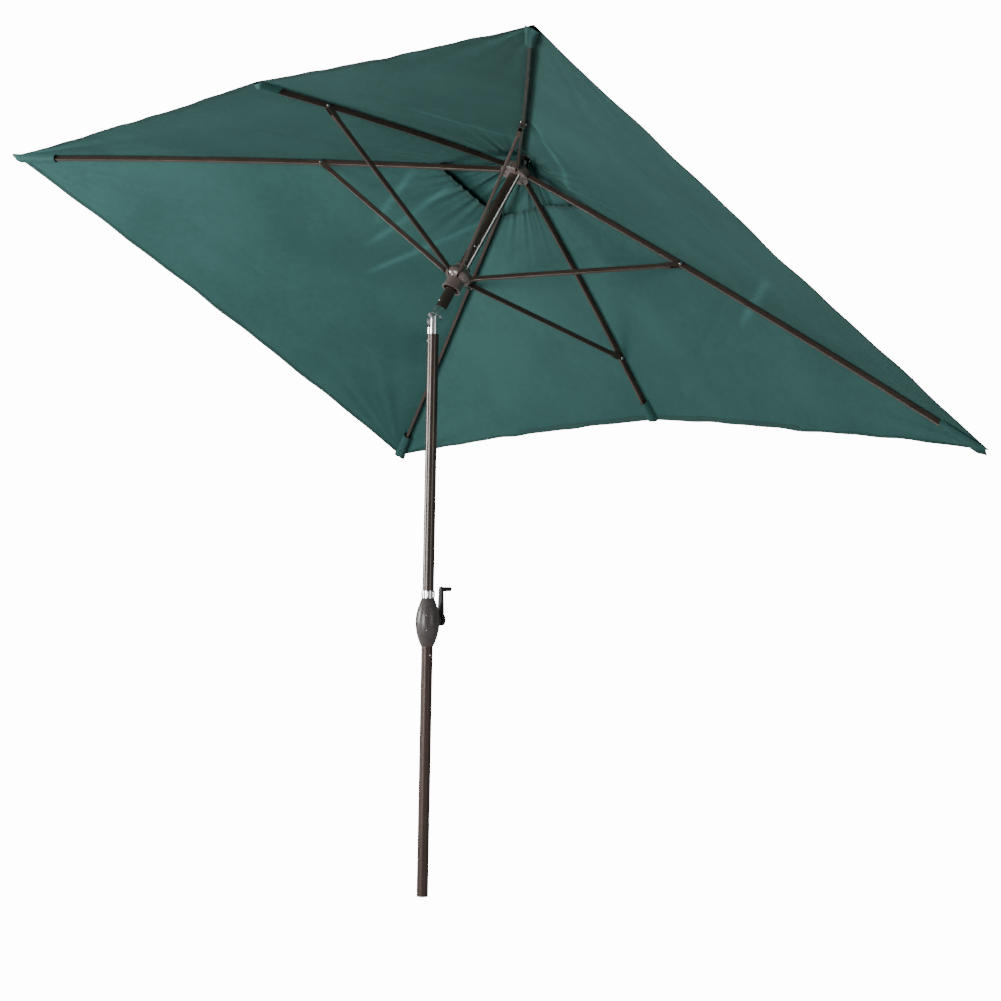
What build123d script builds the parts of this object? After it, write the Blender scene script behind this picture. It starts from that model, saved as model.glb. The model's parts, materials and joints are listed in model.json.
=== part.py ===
from build123d import *
import os
from math import atan2, cos, degrees, hypot, radians, sin, sqrt

# Rectangular patio umbrella with a crank lift and a push-button tilt, open and tilted.
# Frame: origin at the centre of the pole's foot, +Z up the pole. X is the tilt hinge's
# direction and the canopy's long side. The mast leans towards +Y, the low side.
# Everything above the tilt pin is drawn upright in the mast frame, whose origin is the
# tilt pin, and is then leaned over by on_mast.

os.makedirs("parts", exist_ok=True)

# Pole tubes
pole_d = 38.0
pole_wall = 1.5
pole_r = pole_d / 2
fit_gap = 0.1
foot_plug_h = 26.0
depth_mark_z = 760.0
depth_mark_w = 1.0
depth_mark_depth = 0.3
lower_pole_top = 822.0
pole_break = 2.0
tilt_z = 1880.0
socket_h = 42.0
middle_pole_top = tilt_z - socket_h
joiner_bottom = 700.0
joiner_top = 880.0
joiner_wall = 1.5
rivet_d = 5.0
rivet_head_d = 8.5
rivet_head_h = 1.6
rivet_depth = 10.0
joiner_rivet_z = 862.0

# Snap button that locks the two pole halves
snap_z = 789.0
snap_d = 8.0
snap_proud = 3.0
snap_gap = 0.15
leaf_t = 0.8
leaf_w = 9.0
leaf_leg = 46.0

# Crank housing
housing_bottom = 818.0
housing_top = 974.0
housing_mouth_r = pole_r + 1.6
housing_widest_r = pole_r + 20.6
housing_widest_z = 898.0
housing_low_r = pole_r + 14.6
housing_low_z = 853.0
housing_high_r = pole_r + 15.4
housing_high_z = 936.0
housing_wall = 2.6
housing_groove_z = 949.0
housing_groove_r = 1.3
housing_gap = 0.1
boss_x = pole_r + 10
boss_r = 4.6
boss_z = (872.0, 918.0)
screw_d = 3.0
screw_head_d = 6.0
screw_head_h = 2.0
screw_from = 22.0
collar_h = 25.0
collar_r = pole_r + 2.6
collar_lobe_r = 3.4
collar_lobes = 6
collar_gap = 1.0

# Crank, its spool and its knob
crank_z = 904.0
crank_shaft_d = 10.0
shaft_gap = 0.05
spool_r = 8.5
spool_flange_r = 13.0
spool_flange_t = 2.0
spool_half = 11.0
bearing_r = 14.0
bearing_end = pole_r + 26
arm_y = pole_r + 28
arm_t = 8.0
arm_reach = 100.0
arm_boss_r = 20.0
arm_end_r = 9.0
arm_boss_t = 15.0
crank_screw_d = 5.0
crank_screw_head_d = 10.0
crank_screw_head_h = 2.5
knob_pin_d = 6.0
knob_pin_len = 30.0
knob_d = 15.0
knob_len = 34.0
knob_gap = 0.5

# Tilt knuckle
tilt_angle = 31.8
knuckle_r = pole_r + 2
cheek_gap = pole_r + 5
cheek_r = pole_r
tongue_side_gap = 0.3
tongue_r = pole_r - 1
socket_floor = tongue_r + 2
tongue_shoulder = cheek_r + 3
tongue_top = 50.0
stem_len = 46.0
tilt_pin_d = 8.0
tilt_pin_gap = 0.05
cord_bore_r = 4.0
stem_rivet_in = 24.0
button_d = 12.0
button_gap = 0.2
button_z = 11.0
button_proud = pole_r + 9
button_back = 10.0
button_bore_end = 11.0
spring_r = 4.0
spring_wire = 0.9
spring_pitch = 4.0

# Mast, hub and pulley
hub_z = 606.0
mast_over_hub = 62.0
hub_r = pole_r + 33
hub_half_h = 14.0
hub_pin_r = pole_r + 25
hub_slot_w = 7.0
hub_slot_from = pole_r + 12
hub_round = 3.0
pin_d = 4.0
pin_len = 18.0
hub_rivet_z = -7.0
pulley_z = 34.0
cord_pitch_r = (pole_r + 7) / 2
pulley_r = cord_pitch_r + 2
pulley_w = 7.0
pulley_slot_w = 9.0
pulley_slot_h = 36.0
cord_d = 5.0
cord_gap = 0.1
cord_hole_r = 3.5
stop_rivet_below_hub = 310.0
stop_rivet_azimuth = -30.0
finial_r = pole_r + 4
finial_flange = 5.0
finial_gap = 5.0
finial_ball_r = 17.0
finial_neck_r = 9.0

# Runner
runner_depth = 427.0
runner_pin_r = pole_r + 15
runner_bore_gap = 1.2
runner_top = 38.0
runner_neck_r = pole_r + 8
runner_bulge_r = pole_r + 27
runner_bulge_top = 25.0
runner_bulge_bottom = -16.0
runner_under_r = pole_r + 12
runner_slot_from = pole_r + 5.5
collar_bottom = -52.0
collar_skirt_r = pole_r + 12
collar_lip_r = pole_r + 14
collar_lip_h = 6.0
collar_bore_r = pole_r + 8.5
cord_seat = 8.0
cord_knot_depth = 4.0
runner_screw_r = pole_r + 17
runner_screw_head_d = 7.0

# Ribs and struts
canopy_long = 3210.0
canopy_short = 1974.0
corner_drop = 483.0
mid_reach = 945.0
mid_drop = 372.0
rib_w = 11.0
rib_h = 18.0
rib_wall = 1.2
rib_corner_r = 2.5
corner_bow = 13.0
mid_bow = 8.0
tip_spare = 26.0
tube_from = 14.0
tang_t = 6.0
tang_r = 7.0
rib_plug = 10.0
strut_at = 702.0
strut_w = 10.0
strut_h = 16.0
strut_wall = 1.2
strut_tube_from = 26.0
eye_gap = 0.4
fork_gap = 0.4
fork_t = 2.0
fork_r = 8.0
fork_block_from = 56.0
fork_block_to = 34.0
strut_rivet_d = 6.0
strut_rivet_head_d = 11.0
strut_rivet_head_h = 2.4
strut_rivet_gap = 0.05
head_gap = 0.2

# Canopy
cloth_t = 2.0
cloth_gap = 2.6
seam_gap = 0.3
vent_open = 0.155
vent_rim = 0.25
vent_lift = 14.0
vent_ring_r = pole_r + 1.5
vent_ring_z = 64.0
hem_scallop = 0.012

bore_r = pole_r - pole_wall
spigot_r = bore_r - fit_gap


def save(name, shape):
    export_step(shape, f"parts/{name}.step")


def group(shapes):
    """Separate solids kept together as one node."""
    return Compound(children=[solid for shape in shapes for solid in shape.solids()])


def disc(radius, z0, z1):
    """A cylinder on the Z axis between two heights."""
    return Pos(0, 0, (z0 + z1) / 2) * Cylinder(radius, z1 - z0)


def tube(outer_r, inner_r, z0, z1):
    return disc(outer_r, z0, z1) - disc(inner_r, z0, z1)


def rod(radius, start, end):
    """A cylinder between two points."""
    a = Vector(*start)
    b = Vector(*end)
    seat = Plane(origin=a, z_dir=b - a)
    flat = (Align.CENTER, Align.CENTER, Align.MIN)
    return seat * Cylinder(radius, (b - a).length, align=flat)


def turned(points):
    """A solid of revolution about Z from (radius, z) corners."""
    outline = Polyline([(r, 0, z) for r, z in points], close=True)
    return revolve(make_face(outline), Axis.Z)


def block(x0, x1, y_half, z0, z1):
    """A box between two x, symmetric in y."""
    return Pos((x0 + x1) / 2, 0, (z0 + z1) / 2) * Box(x1 - x0, 2 * y_half, z1 - z0)


def on_mast(shape):
    """From the upright mast frame to the leaning mast."""
    return Location((0, 0, tilt_z), (-tilt_angle, 0, 0)) * shape


def rivet(azimuth, z, r_surface, depth):
    """A dome-headed rivet along a radius, its head on the surface at r_surface."""
    shank = rod(rivet_d / 2, (r_surface - depth, 0, z), (r_surface, 0, z))
    head = rod(rivet_head_d / 2, (r_surface, 0, z), (r_surface + rivet_head_h, 0, z))
    head = fillet(head.edges().sort_by(Axis.X)[-1], rivet_head_h * 0.6)
    return Rot(0, 0, azimuth) * (shank + head)


def rivet_hole(azimuth, z):
    return Rot(0, 0, azimuth) * rod(rivet_d / 2, (pole_r - rivet_depth, 0, z), (pole_r + 2, 0, z))


# ---------------------------------------------------------------- pole and its joiner
snap_bore = rod(snap_d / 2 + snap_gap, (0, 0, snap_z), (pole_r + 2, 0, snap_z))
crank_bore = rod(crank_shaft_d / 2 + shaft_gap, (0, -pole_d, crank_z), (0, pole_d, crank_z))
joiner_rivets = (90, -90)
socket_rivet_z = middle_pole_top - stem_rivet_in
lower_pole = tube(pole_r, bore_r, 0, lower_pole_top) - snap_bore
mark_top = depth_mark_z + depth_mark_w
lower_pole -= tube(pole_r + 1, pole_r - depth_mark_depth, depth_mark_z, mark_top)
save("lower_pole", lower_pole)

foot_plug = disc(spigot_r, 0, foot_plug_h)
foot_plug = chamfer(foot_plug.edges().sort_by(Axis.Z)[-1], 2.0)
save("foot_plug", foot_plug)

middle_pole = tube(pole_r, bore_r, lower_pole_top + pole_break, middle_pole_top) - crank_bore
for azimuth in joiner_rivets:
    middle_pole -= rivet_hole(azimuth, joiner_rivet_z)
    middle_pole -= rivet_hole(azimuth, socket_rivet_z)
save("middle_pole", middle_pole)

pole_joiner = tube(spigot_r, spigot_r - joiner_wall, joiner_bottom, joiner_top) - snap_bore
for azimuth in joiner_rivets:
    pole_joiner -= rivet_hole(azimuth, joiner_rivet_z)
save("pole_joiner", pole_joiner)

pole_rivets = [rivet(a, joiner_rivet_z, pole_r, pole_wall + joiner_wall) for a in joiner_rivets]
pole_rivets += [rivet(a, socket_rivet_z, pole_r, rivet_depth) for a in joiner_rivets]
save("pole_rivets", group(pole_rivets))

# Snap button and the U-shaped leaf spring behind it
leaf_r = spigot_r - joiner_wall - 2 * snap_gap
leaf_outer = Pos(0, 0, snap_z - leaf_leg) * Rot(90, 0, 0) * Cylinder(leaf_r, leaf_w)
leaf_inner = Pos(0, 0, snap_z - leaf_leg) * Rot(90, 0, 0) * Cylinder(leaf_r - leaf_t, leaf_w)
leaf_bend = (leaf_outer - leaf_inner) & block(
    -leaf_r, leaf_r, leaf_w, snap_z - leaf_leg - leaf_r, snap_z - leaf_leg
)
leaf_top = snap_z + snap_d
leg = block(leaf_r - leaf_t, leaf_r, leaf_w / 2, snap_z - leaf_leg, leaf_top)
snap_spring = (leaf_bend + leg + Rot(0, 0, 180) * leg) & disc(
    leaf_r, snap_z - leaf_leg - leaf_r, leaf_top
)
save("snap_spring", snap_spring)

snap_button = rod(snap_d / 2, (leaf_r + snap_gap, 0, snap_z), (pole_r + snap_proud, 0, snap_z))
snap_button = fillet(snap_button.edges().sort_by(Axis.X)[-1], snap_d / 3)
save("snap_button", snap_button)

# ---------------------------------------------------------------- crank housing
half_w = housing_widest_r + arm_y


def egg(shrink):
    """The housing's outer shape, drawn in by shrink, as a solid of revolution."""
    side = Spline(
        [
            (housing_mouth_r, 0, housing_bottom + shrink),
            (housing_low_r - shrink, 0, housing_low_z),
            (housing_widest_r - shrink, 0, housing_widest_z),
            (housing_high_r - shrink, 0, housing_high_z),
            (housing_mouth_r, 0, housing_top - shrink),
        ]
    )
    top = housing_top - shrink
    low = housing_bottom + shrink
    rest = Polyline([(housing_mouth_r, 0, top), (0, 0, top), (0, 0, low), (housing_mouth_r, 0, low)])
    return revolve(make_face(side + rest), Axis.Z)


egg_outer = egg(0.0)
egg_inner = egg(housing_wall)
shell = egg_outer - egg_inner
for x in (-boss_x, boss_x):
    for z in boss_z:
        shell += rod(boss_r, (x, -screw_from, z), (x, screw_from, z)) & egg_outer
groove_r = housing_high_r - (housing_groove_z - housing_high_z) * 0.32
shell -= Pos(0, 0, housing_groove_z) * Torus(groove_r, housing_groove_r)
shell -= disc(pole_r + housing_gap, housing_bottom - 1, housing_top + 1)
shell += rod(bearing_r, (0, pole_r + housing_gap + 0.5, crank_z), (0, bearing_end, crank_z))
shell -= rod(crank_shaft_d / 2 + shaft_gap, (0, 0, crank_z), (0, half_w, crank_z))
shell -= disc(pole_r + housing_gap, crank_z - bearing_r, crank_z + bearing_r)
for azimuth in joiner_rivets:
    head_room = rivet_head_h + 1
    shell -= Rot(0, 0, azimuth) * rod(
        rivet_head_d / 2 + 0.5, (pole_r, 0, joiner_rivet_z), (pole_r + head_room, 0, joiner_rivet_z)
    )
screws = []
for x in (-boss_x, boss_x):
    for z in boss_z:
        screw = rod(screw_d / 2, (x, -screw_from, z), (x, screw_from / 2, z))
        screw += rod(screw_head_d / 2, (x, -screw_from - screw_head_h, z), (x, -screw_from, z))
        screws.append(screw)
        shell -= rod(screw_d / 2, (x, -screw_from, z), (x, screw_from / 2, z))
        shell -= rod(screw_head_d / 2 + 0.3, (x, -half_w, z), (x, -screw_from, z))
save("housing_screws", group(screws))
back_room = Pos(0, -half_w, housing_widest_z) * Box(2 * half_w, 2 * half_w, 2 * half_w)
front_room = Pos(0, half_w, housing_widest_z) * Box(2 * half_w, 2 * half_w, 2 * half_w)
save("housing_back", shell & back_room)
save("housing_front", shell & front_room)

collar_z0 = housing_top + collar_gap
housing_collar = disc(collar_r, collar_z0, collar_z0 + collar_h)
for n in range(collar_lobes):
    lobe = Pos(collar_r, 0, 0) * disc(collar_lobe_r, collar_z0 + 4, collar_z0 + collar_h - 4)
    housing_collar += Rot(0, 0, 360 / collar_lobes * (n + 0.4)) * lobe
housing_collar -= disc(pole_r + housing_gap, collar_z0 - 1, collar_z0 + collar_h + 1)
save("housing_collar", housing_collar)

# ---------------------------------------------------------------- crank
shaft_start = -pole_r
crank_spool = rod(crank_shaft_d / 2, (0, shaft_start, crank_z), (0, arm_y, crank_z))
crank_spool += rod(spool_r, (0, -spool_half, crank_z), (0, spool_half, crank_z))
for side in (-1, 1):
    crank_spool += rod(
        spool_flange_r,
        (0, side * (spool_half - spool_flange_t), crank_z),
        (0, side * spool_half, crank_z),
    )
crank_spool -= rod(crank_screw_d / 2, (0, arm_y - 20, crank_z), (0, arm_y + 1, crank_z))
save("crank_spool", crank_spool)

arm_top = crank_z + arm_reach
arm_outline = make_hull(
    (
        Sketch() + Pos(0, crank_z) * Circle(arm_boss_r * 0.8) + Pos(0, arm_top) * Circle(arm_end_r)
    ).edges()
)
arm_plane = Plane(origin=(0, arm_y + arm_t, 0), x_dir=(1, 0, 0), z_dir=(0, -1, 0))
crank_arm = extrude(arm_plane * arm_outline, arm_t)
crank_arm += rod(arm_boss_r, (0, arm_y, crank_z), (0, arm_y + arm_boss_t - 3, crank_z))
crank_arm = fillet(crank_arm.edges().group_by(Axis.Y)[-1], 2.0)
crank_arm += rod(
    knob_pin_d / 2, (0, arm_y + arm_t, arm_top), (0, arm_y + arm_t + knob_pin_len, arm_top)
)
arm_face = arm_y + arm_boss_t - 3
crank_arm -= rod(crank_screw_d / 2, (0, arm_y - 1, crank_z), (0, arm_face + 1, crank_z))
save("crank_arm", crank_arm)

crank_screw = rod(crank_screw_d / 2, (0, arm_y - 20, crank_z), (0, arm_face, crank_z))
crank_screw += rod(
    crank_screw_head_d / 2, (0, arm_face, crank_z), (0, arm_face + crank_screw_head_h, crank_z)
)
save("crank_screw", crank_screw)

knob_y = arm_y + arm_t + knob_gap
crank_knob = rod(knob_d / 2, (0, knob_y, arm_top), (0, knob_y + knob_len, arm_top))
crank_knob = fillet(crank_knob.edges().filter_by(GeomType.CIRCLE), 2.0)
crank_knob -= rod(
    knob_pin_d / 2 + shaft_gap,
    (0, knob_y - 1, arm_top),
    (0, arm_y + arm_t + knob_pin_len + knob_gap, arm_top),
)
save("crank_knob", crank_knob)

# ---------------------------------------------------------------- tilt knuckle
cord_x = spool_r + cord_d / 2 + cord_gap
half_gap = cheek_gap / 2
pin_hole = rod(tilt_pin_d / 2, (-pole_d, 0, tilt_z), (pole_d, 0, tilt_z))
cheeks = rod(cheek_r, (-knuckle_r, 0, tilt_z), (knuckle_r, 0, tilt_z))
cheeks += block(-knuckle_r, knuckle_r, cheek_r, tilt_z - socket_floor - 1, tilt_z)
cheeks &= disc(knuckle_r, tilt_z - socket_floor - 1, tilt_z + cheek_r)
cheeks -= block(-half_gap, half_gap, pole_d, tilt_z - socket_floor, tilt_z + pole_d)
tilt_socket = disc(knuckle_r, middle_pole_top, tilt_z - socket_floor) + cheeks
tilt_socket += disc(spigot_r, middle_pole_top - stem_len, middle_pole_top)
tilt_socket -= pin_hole
tilt_socket -= Pos(cord_x, 0, 0) * disc(cord_bore_r, middle_pole_top - stem_len - 1, tilt_z)
for azimuth in joiner_rivets:
    tilt_socket -= rivet_hole(azimuth, socket_rivet_z)
save("tilt_socket", tilt_socket)

tilt_pin = rod(tilt_pin_d / 2, (-knuckle_r + 1, 0, tilt_z), (knuckle_r - 1, 0, tilt_z))
save("tilt_pin", tilt_pin)

cord_lower = Pos(cord_x, 0, 0) * disc(cord_d / 2, crank_z, tilt_z - socket_floor - 1)
save("cord_lower", cord_lower)

tongue_half = half_gap - tongue_side_gap
tongue = rod(tongue_r, (-tongue_half, 0, 0), (tongue_half, 0, 0))
tongue += block(-tongue_half, tongue_half, tongue_r, 0, tongue_shoulder + 1)
tongue &= disc(knuckle_r, -tongue_r - 1, tongue_shoulder + 1)
tongue += disc(knuckle_r, tongue_shoulder, tongue_top)
tongue += disc(spigot_r, tongue_top, tongue_top + stem_len)
tongue -= rod(tilt_pin_d / 2 + tilt_pin_gap, (-pole_d, 0, 0), (pole_d, 0, 0))
tongue -= disc(cord_bore_r, tongue_shoulder + 2, tongue_top + stem_len + 1)
tongue -= rod(button_d / 2 + button_gap, (0, -pole_d, button_z), (0, button_bore_end, button_z))
for azimuth in joiner_rivets:
    tongue -= rivet_hole(azimuth, tongue_top + stem_rivet_in)
save("tilt_tongue", on_mast(tongue))

tilt_button = rod(button_d / 2, (0, -button_proud, button_z), (0, -button_back, button_z))
tilt_button = fillet(tilt_button.edges().sort_by(Axis.Y)[0], 2.5)
save("tilt_button", on_mast(tilt_button))

spring_len = button_back + button_bore_end - 2 * spring_wire
coil_path = Helix(pitch=spring_pitch, height=spring_len, radius=spring_r)
coil_start = Plane(origin=coil_path @ 0, z_dir=coil_path % 0)
coil = sweep(coil_start * Circle(spring_wire / 2), path=coil_path, is_frenet=True)
coil_seat = Location((0, -button_back + spring_wire, button_z), (-90, 0, 0))
save("button_spring", on_mast(coil_seat * coil))

# ---------------------------------------------------------------- mast tube, hub, pulley
mast_top = hub_z + mast_over_hub
hub_rivets = (-60.8, 119.2)
upper_pole = tube(pole_r, bore_r, tongue_top, mast_top)
for azimuth in joiner_rivets:
    upper_pole -= rivet_hole(azimuth, tongue_top + stem_rivet_in)
pulley_at = hub_z + pulley_z
upper_pole -= block(0, pole_d, pulley_slot_w / 2, pulley_at - pulley_slot_h / 2, mast_top + 1)
upper_pole -= rod(pin_d / 2, (cord_pitch_r, -pole_r, pulley_at), (cord_pitch_r, pole_r, pulley_at))
stop_z = hub_z - stop_rivet_below_hub
upper_pole -= rivet_hole(stop_rivet_azimuth, stop_z)
save("upper_pole", on_mast(upper_pole))

stem_rivets = [rivet(a, tongue_top + stem_rivet_in, pole_r, rivet_depth) for a in joiner_rivets]
stop_rivet = rivet(stop_rivet_azimuth, stop_z, pole_r, pole_wall)
hub_heads = [rivet(a, hub_z + hub_rivet_z, hub_r, hub_r - pole_r) for a in hub_rivets]
save("mast_rivets", on_mast(group(stem_rivets + [stop_rivet] + hub_heads)))

chord = sqrt(pole_r**2 - cord_pitch_r**2)
pulley_pin = rod(pin_d / 2, (cord_pitch_r, -chord, pulley_at), (cord_pitch_r, chord, pulley_at))
save("pulley_pin", on_mast(pulley_pin))

pulley_half = pulley_w / 2
pulley = rod(pulley_r, (0, -pulley_half, 0), (0, pulley_half, 0))
groove_half = cord_d / 2 + cord_gap
pulley -= Rot(90, 0, 0) * Torus(cord_pitch_r, groove_half)
pulley -= Rot(90, 0, 0) * tube(pulley_r + 1, cord_pitch_r, -groove_half, groove_half)
pulley -= rod(pin_d / 2 + shaft_gap, (0, -pulley_w, 0), (0, pulley_w, 0))
save("pulley", on_mast(Pos(cord_pitch_r, 0, pulley_at) * pulley))

# The lift cord inside the mast, over the pulley, and its fall outside the mast
rise = Line((0, 0, tongue_shoulder + 4), (0, 0, pulley_at))
over = ThreePointArc(
    (0, 0, pulley_at), (cord_pitch_r, 0, pulley_at + cord_pitch_r), (2 * cord_pitch_r, 0, pulley_at)
)
cord_start = Plane(origin=(0, 0, tongue_shoulder + 4), z_dir=(0, 0, 1))
cord_upper = sweep(cord_start * Circle(cord_d / 2), path=rise + over)
save("cord_upper", on_mast(cord_upper))

fall_x = 2 * cord_pitch_r
fall_end = hub_z - runner_depth + cord_seat
save("cord_fall", on_mast(Pos(fall_x, 0, 0) * disc(cord_d / 2, fall_end, pulley_at)))

# Rib directions: right is +X, low is +Y
corner_x = canopy_long / 2
corner_y = canopy_short / 2
corner_azimuth = degrees(atan2(corner_y, corner_x))
corner_reach = hypot(corner_x, corner_y)
ribs = {
    "right_low": (corner_azimuth, corner_reach, corner_drop, corner_bow),
    "mid_low": (90.0, mid_reach, mid_drop, mid_bow),
    "left_low": (180.0 - corner_azimuth, corner_reach, corner_drop, corner_bow),
    "left_high": (180.0 + corner_azimuth, corner_reach, corner_drop, corner_bow),
    "mid_high": (270.0, mid_reach, mid_drop, mid_bow),
    "right_high": (360.0 - corner_azimuth, corner_reach, corner_drop, corner_bow),
}
azimuths = [rib[0] for rib in ribs.values()]

slot_mid = (hub_slot_from + hub_r + 5) / 2
slot_len = hub_r + 5 - hub_slot_from
top_hub = disc(hub_r, -hub_half_h, hub_half_h)
top_hub = fillet(top_hub.edges(), hub_round)
top_hub -= disc(pole_r, -hub_r, hub_r)
top_hub -= Pos(fall_x, 0, 0) * disc(cord_hole_r, -hub_r, hub_r)
for azimuth in azimuths:
    slot = Pos(slot_mid, 0, 0) * Box(slot_len, hub_slot_w, 3 * hub_half_h)
    pin = rod(pin_d / 2, (hub_pin_r, -pin_len / 2, 0), (hub_pin_r, pin_len / 2, 0))
    top_hub -= Rot(0, 0, azimuth) * slot
    top_hub -= Rot(0, 0, azimuth) * pin
for azimuth in hub_rivets:
    hole = rod(rivet_d / 2, (0, 0, hub_rivet_z), (hub_r + 1, 0, hub_rivet_z))
    top_hub -= Rot(0, 0, azimuth) * hole
save("top_hub", on_mast(Pos(0, 0, hub_z) * top_hub))


def ring_of_pins(radius, z):
    pin = rod(pin_d / 2, (radius, -pin_len / 2, z), (radius, pin_len / 2, z))
    return group([Rot(0, 0, azimuth) * pin for azimuth in azimuths])


save("hub_pins", on_mast(ring_of_pins(hub_pin_r, hub_z)))

finial_z = mast_top + finial_gap
finial = turned(
    [
        (0, finial_z - stem_len / 2),
        (spigot_r, finial_z - stem_len / 2),
        (spigot_r, finial_z),
        (finial_r, finial_z),
        (finial_r, finial_z + finial_flange),
        (finial_neck_r, finial_z + finial_flange + 4),
        (0, finial_z + finial_flange + 4),
    ]
)
ball_z = finial_z + finial_flange + finial_ball_r + 2
finial += Pos(0, 0, ball_z) * Sphere(finial_ball_r)
finial -= block(0, pole_d, pulley_slot_w, finial_z - pole_d, mast_top)
save("finial", on_mast(finial))

# ---------------------------------------------------------------- runner
runner_z = hub_z - runner_depth
bulge = ThreePointArc(
    (runner_neck_r + 2, 0, runner_bulge_top),
    (runner_bulge_r, 0, (runner_bulge_top + runner_bulge_bottom) / 2),
    (runner_under_r, 0, runner_bulge_bottom),
)
runner_bore = pole_r + runner_bore_gap
back = Polyline(
    [
        (runner_under_r, 0, runner_bulge_bottom),
        (runner_bore, 0, runner_bulge_bottom),
        (runner_bore, 0, runner_top),
        (runner_neck_r, 0, runner_top),
        (runner_neck_r + 2, 0, runner_bulge_top),
    ]
)
runner_hub = revolve(make_face(bulge + back), Axis.Z)
lobe_azimuths = [(a + b) / 2 for a, b in zip(azimuths, azimuths[1:] + [azimuths[0] + 360])]
slot_bottom = runner_bulge_bottom - 5
slot_top = runner_bulge_top + 4
runner_screws = []
screw_top = runner_bulge_bottom + 14
screw_seat = Plane(origin=(runner_screw_r, 0, runner_bulge_bottom + 4), z_dir=(0.55, 0, -0.83))
for azimuth in azimuths:
    slot = block(runner_slot_from, runner_bulge_r + 5, hub_slot_w / 2, slot_bottom, slot_top)
    pin = rod(pin_d / 2, (runner_pin_r, -pin_len / 2, 0), (runner_pin_r, pin_len / 2, 0))
    runner_hub -= Rot(0, 0, azimuth) * slot
    runner_hub -= Rot(0, 0, azimuth) * pin
runner_hub -= Pos(fall_x, 0, 0) * disc(cord_hole_r, cord_knot_depth, runner_top + 1)
for azimuth in lobe_azimuths:
    flat = (Align.CENTER, Align.CENTER, Align.MIN)
    head = screw_seat * Cylinder(runner_screw_head_d / 2, 3.5, align=flat)
    shank = screw_seat * Pos(0, 0, -9) * Cylinder(screw_d / 2, 9, align=flat)
    runner_hub -= Rot(0, 0, azimuth) * (
        screw_seat * Cylinder(runner_screw_head_d / 2 + 0.2, 20, align=flat)
    )
    runner_hub -= Rot(0, 0, azimuth) * shank
    runner_screws.append(Rot(0, 0, azimuth) * (head + shank))
save("runner_hub", on_mast(Pos(0, 0, runner_z) * runner_hub))
save("runner_screws", on_mast(Pos(0, 0, runner_z) * group(runner_screws)))
save("runner_pins", on_mast(ring_of_pins(runner_pin_r, runner_z)))

runner_collar = turned(
    [
        (runner_bore, runner_bulge_bottom),
        (collar_skirt_r, runner_bulge_bottom),
        (collar_skirt_r, collar_bottom + collar_lip_h),
        (collar_lip_r, collar_bottom + collar_lip_h),
        (collar_lip_r, collar_bottom),
        (collar_bore_r, collar_bottom),
        (collar_bore_r, runner_bulge_bottom - 3),
        (runner_bore, runner_bulge_bottom - 3),
    ]
)
save("runner_collar", on_mast(Pos(0, 0, runner_z) * runner_collar))


# ---------------------------------------------------------------- ribs, rivets, struts
def arc_height(x, length, bow):
    """Height over its chord of a shallow arc of the given length and bow."""
    radius = (length**2 / 4 + bow**2) / (2 * bow)
    return sqrt(radius**2 - (x - length / 2) ** 2) - (radius - bow)


class Rib:
    """Where one rib, its rivet and its strut stand, in the mast frame."""

    def __init__(self, azimuth, reach, drop, bow):
        self.azimuth = azimuth
        self.bow = bow
        self.reach = reach
        span = reach - hub_pin_r
        self.slope = atan2(drop, span)
        self.full = hypot(span, drop)
        self.length = self.full - tip_spare
        self.rivet_x = (strut_at - hub_pin_r) / cos(self.slope)
        self.rivet_z = arc_height(self.rivet_x, self.length, bow)
        self.rivet_r = hub_pin_r + self.rivet_x * cos(self.slope) + self.rivet_z * sin(self.slope)
        self.rivet_h = self.rivet_z * cos(self.slope) - self.rivet_x * sin(self.slope)
        self.strut_rise = atan2(
            self.rivet_h + runner_depth, self.rivet_r - runner_pin_r
        )
        self.strut_len = hypot(self.rivet_h + runner_depth, self.rivet_r - runner_pin_r)

    def place(self, shape):
        """From the rib's chord frame to the leaning mast."""
        seat = Pos(0, 0, hub_z) * Rot(0, 0, self.azimuth) * Pos(hub_pin_r, 0, 0)
        return on_mast(seat * Rot(0, degrees(self.slope), 0) * shape)

    def place_strut(self, shape):
        """From the strut's own frame, its lower eye at the origin, to the leaning mast."""
        seat = Pos(0, 0, runner_z) * Rot(0, 0, self.azimuth) * Pos(runner_pin_r, 0, 0)
        return on_mast(seat * Rot(0, -degrees(self.strut_rise), 0) * shape)

    def cloth(self, share):
        """The cloth's underside over the rib at a share of the rib's reach, in the mast frame."""
        along = (self.reach * share - hub_pin_r) / cos(self.slope)
        inside = min(max(along, 0.0), self.length)
        lift = arc_height(inside, self.length, self.bow)
        lift += (rib_h / 2 + cloth_gap) / cos(self.slope)
        z = hub_z - along * sin(self.slope) + lift
        r = self.reach * share
        return Vector(r * cos(radians(self.azimuth)), r * sin(radians(self.azimuth)), z)


def bowed_bar(rib, x0, x1, width, height, corner_r):
    """A bar of rounded section along the rib's arc between two distances from the hub."""
    mid = (x0 + x1) / 2
    points = [(x, 0, arc_height(x, rib.length, rib.bow)) for x in (x0, mid, x1)]
    path = ThreePointArc(*points)
    seat = Plane(origin=points[0], x_dir=(0, 1, 0), z_dir=path % 0)
    return sweep(seat * RectangleRounded(width, height, corner_r), path=path)


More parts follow.
